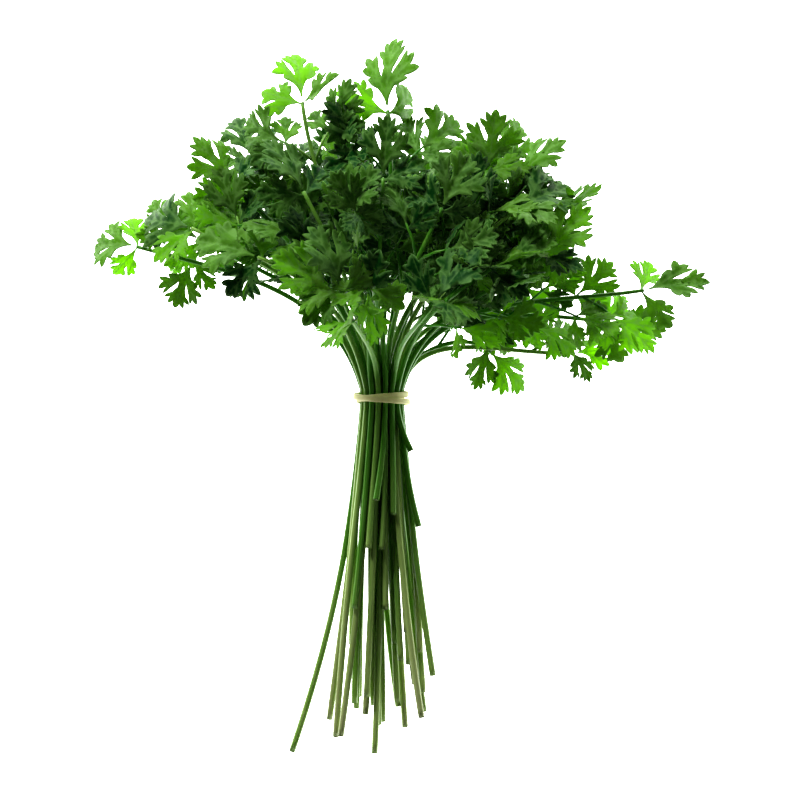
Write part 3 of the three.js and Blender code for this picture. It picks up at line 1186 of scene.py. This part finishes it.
    def crown_shade(self, spot: Array) -> float:
        """Painted light and shade: how much darker a leaf is painted deep in the crown, where shade
        falls, and lighter further out, where light shines through.

        Args:
            spot: The leaf's middle.

        Returns:
            Its share of the tone.
        """
        middle, wide, deep = self.crown
        away = math.hypot(spot[0] / wide, (spot[1] - middle) / deep)
        shaded_tone, lit_tone = self.painted_crown_tones
        share = min(max((away - 0.3) / 0.65, 0.0), 1.0)
        return share * (lit_tone - shaded_tone) + shaded_tone

    def bent(self, blade: Blade, pose: Pose, length: float, width: float) -> Array:
        """A leaflet's middle surface, bent, as across, along and over.

        Args:
            blade: Its flat shape.
            pose: How it bends.
            length: Its length.
            width: Its width scale.

        Returns:
            One place for each of its points.
        """
        x, y = blade.flat.T
        over = (
            pose.fold * np.abs(x) * width
            - pose.curl * x * x * width
            + pose.wave * width * np.abs(x) * 2 * np.sin(9 * y + 4 * x + pose.phase)
            + self.quilt_share * length * blade.quilt
        )
        turn = pose.twist * y
        across = x * width * np.cos(turn) - over * np.sin(turn)
        over = x * width * np.sin(turn) + over * np.cos(turn)
        arch = pose.arch if abs(pose.arch) > self.flattest else self.flattest
        bend = arch * y
        along = length * np.sin(bend) / arch + over * np.sin(bend)
        rise = -length * (1 - np.cos(bend)) / arch + over * np.cos(bend)
        return np.stack([across, along, rise], axis=1)

    def dress(self, piece: Object, finishes: list[Material]) -> None:
        """Gives the sprig its finishes and its place in the frame.

        Args:
            piece: The sprig's object.
            finishes: The materials in the order of Slot.
        """
        for finish in finishes:
            piece.data.materials.append(finish)
        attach(piece, ROOT)
        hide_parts(f"sprig_{self.number:02d}")


def cut_blades() -> dict[str, list[Blade]]:
    """Cuts the flat leaflets that all sprigs share.

    Returns:
        Blades for the last leaflets and for those to the right and left of them.
    """
    return {
        "end": [
            Blade(BROAD, BROAD, 1, (0.92, 0.92)),
            Blade(BROAD, BROAD, 2, (0.84, 0.92)),
            Blade(BROAD, SLIM, 3, (0.86, 1.0)),
        ],
        "right": [
            Blade(SLIM, BROAD, 4, (1.0, 0.86)),
            Blade(SLIM, SLIM, 5, (0.9, 1.1)),
            Blade(BROAD, BROAD, 8, (0.72, 0.9)),
        ],
        "left": [
            Blade(BROAD, SLIM, 6, (0.86, 1.0)),
            Blade(SLIM, SLIM, 7, (1.1, 0.9)),
            Blade(BROAD, BROAD, 9, (0.9, 0.72)),
        ],
    }


@dataclass
class RubberBand:
    """A closed loop that goes round the stalks twice and crosses itself once."""

    width: float = 2.9
    thick: float = 1.2
    gap: float = 0.4
    side: float = 0.72
    over: float = 0.68
    crossing: float = 125.0
    square: float = 0.8
    steps: int = 320
    corners: int = 20
    bundle: Bundle = Bundle()

    def points(self, steps: int, sides: int, square: float) -> Array:
        """The loop's surface from the middle of the band.

        Args:
            steps: Stations along it.
            sides: Corners round it.
            square: 1 for an oval section, smaller for a squarer one.

        Returns:
            Places by station and corner.
        """
        inner = self.bundle.radius + self.gap
        turn = np.arange(steps)[:, None] / steps * 4 * math.pi
        round_ = np.arange(sides)[None] / sides * 2 * math.pi
        out, wide = (np.sign(f) * np.abs(f) ** square for f in (np.cos(round_), np.sin(round_)))
        lift = (np.sin(turn / 2) + 1) * self.over * self.thick + out * self.thick / 2
        radius = inner + self.thick / 2 + lift
        angle = math.radians(self.crossing) + math.pi + turn
        y = np.cos(turn / 2) * self.side * self.width + wide * self.width / 2
        return np.stack([radius * np.cos(angle), -y, radius * np.sin(angle)], axis=-1)

    def middle(self) -> Array:
        """Finds the band's middle.

        Returns:
            Its place in the row's frame, in millimetres.
        """
        low, high = (np.array(corner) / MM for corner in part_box("rubber_band"))
        own = self.points(56, 6, 1.0).reshape(-1, 3)
        return (low + high) / 2 - (own.min(0) + own.max(0)) / 2

    def build(self, origin: Array) -> Object:
        """Makes the band's object.

        Args:
            origin: The middle of the band in the row's frame.

        Returns:
            The object, still without its finish.
        """
        steps, sides = self.steps, self.corners
        shell = Shell()
        first = shell.add(self.points(steps, sides, self.square).reshape(-1, 3), {})
        s, i = np.meshgrid(np.arange(steps), np.arange(sides), indexing="ij")
        s, i = s.ravel(), i.ravel()
        t, j = (s + 1) % steps, (i + 1) % sides
        quads = np.stack([s * sides + i, t * sides + i, t * sides + j, s * sides + j], axis=1)
        shell.skin(first + quads, Slot.STALK)
        return shell.piece("band_rubber", origin)

    def dress(self, piece: Object) -> None:
        """Gives the band its finish and its place in the frame."""
        piece.data.materials.append(BandFinish().material())
        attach(piece, ROOT)
        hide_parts("rubber_band")


@dataclass
class Studio:
    """The lit white table, the lamps and the camera over it."""

    lens: float = 100.0
    across: float = 0.38
    aside: tuple[float, float] = (0.00855, -0.00095)
    table: float = 20.0
    room: float = 0.025
    target: Colour = (0.0, 0.03, 0.03)

    def build(self, tie: Array) -> None:
        """Sets up the table, the lamps and the camera.

        Args:
            tie: The band's middle in the row's frame, in millimetres.
        """
        scene = bpy.context.scene
        scene.view_settings.view_transform = "Standard"
        scene.view_settings.look = "Medium High Contrast"
        self.build_table()
        self.build_world()
        self.build_lamp("key", (-0.5, 1.0, 0.6), 0.25, 16.5)
        self.build_lamp("fill", (0.6, -0.4, 1.0), 0.8, 1.6)
        self.build_camera(tie * MM)

    def build_table(self) -> None:
        """Makes the white table top."""
        mesh = bpy.data.meshes.new("table_top")
        h = self.table / 2
        mesh.from_pydata([(-h, -h, 0), (h, -h, 0), (h, h, 0), (-h, h, 0)], [], [(0, 1, 2, 3)])
        top = bpy.data.objects.new("table_top", mesh)
        mesh.materials.append(TableFinish().material())
        bpy.context.scene.collection.objects.link(top)

    def build_world(self) -> None:
        """Fills the room with soft white light."""
        world = bpy.data.worlds.new("room")
        world.use_nodes = True
        light = world.node_tree.nodes["Background"].inputs
        light[0].default_value = (1, 1, 1, 1)
        light[1].default_value = self.room
        bpy.context.scene.world = world

    def build_lamp(self, name: str, spot: Colour, size: float, watts: float) -> None:
        """Hangs one soft lamp that shines at the bunch.

        Args:
            name: Its name.
            spot: Where it hangs, in metres.
            size: Its width.
            watts: Its power.
        """
        lamp = bpy.data.lights.new(name, "AREA")
        lamp.size, lamp.energy = size, watts
        hung = bpy.data.objects.new(name, lamp)
        hung.location = spot
        way = Vector(self.target) - Vector(spot)
        hung.rotation_euler = way.to_track_quat("-Z", "Y").to_euler()
        bpy.context.scene.collection.objects.link(hung)

    def build_camera(self, tie: Array) -> None:
        """Hangs the camera straight over the bunch.

        Args:
            tie: The middle of the band, in metres.
        """
        data = bpy.data.cameras.new("camera")
        data.lens, data.sensor_width = self.lens, 36.0
        eye = bpy.data.objects.new("camera", data)
        height = self.across * self.lens / data.sensor_width
        eye.location = (tie[0] + self.aside[0], tie[1] + self.aside[1], tie[2] + height)
        bpy.context.scene.collection.objects.link(eye)
        bpy.context.scene.camera = eye


# The darker greens double as painted shade deep in the crown, and the lighter ones as painted light
# at its rim.
UPPER_LEAF = LeafFinish(
    side=Side.UPPER,
    young_and_lit=(0.155, 0.32, 0.035),
    old_and_shaded=(0.002, 0.040, 0.005),
    vein=(0.20, 0.39, 0.10),
    roughness=0.46,
)
UNDER_LEAF = LeafFinish(
    side=Side.UNDER,
    young_and_lit=(0.22, 0.36, 0.11),
    old_and_shaded=(0.04, 0.12, 0.035),
    vein=(0.33, 0.46, 0.21),
    roughness=0.6,
)


def main() -> None:
    """Builds the band, the sprigs and the studio, and notes the sizes."""
    band = RubberBand()
    tie = band.middle()
    band.dress(band.build(tie))
    LOG.info("band_rubber round the stalks at %s mm", np.round(tie, 2))
    looks = (StalkFinish(), CutFinish(), UPPER_LEAF, UNDER_LEAF)
    finishes = [look.material() for look in looks]
    blades = cut_blades()
    places = [(ring, turn) for ring, count in enumerate(Bundle().rings) for turn in range(count)]
    for number, (ring, turn) in enumerate(places, start=1):
        sprig = Sprig(ring, turn, number, -tie[2], blades)
        piece = sprig.build(tie)
        sprig.dress(piece, finishes)
        LOG.info("%s: %d faces", piece.name, len(piece.data.polygons))
    Studio().build(tie)
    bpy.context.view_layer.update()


if __name__ == "__main__":
    main()
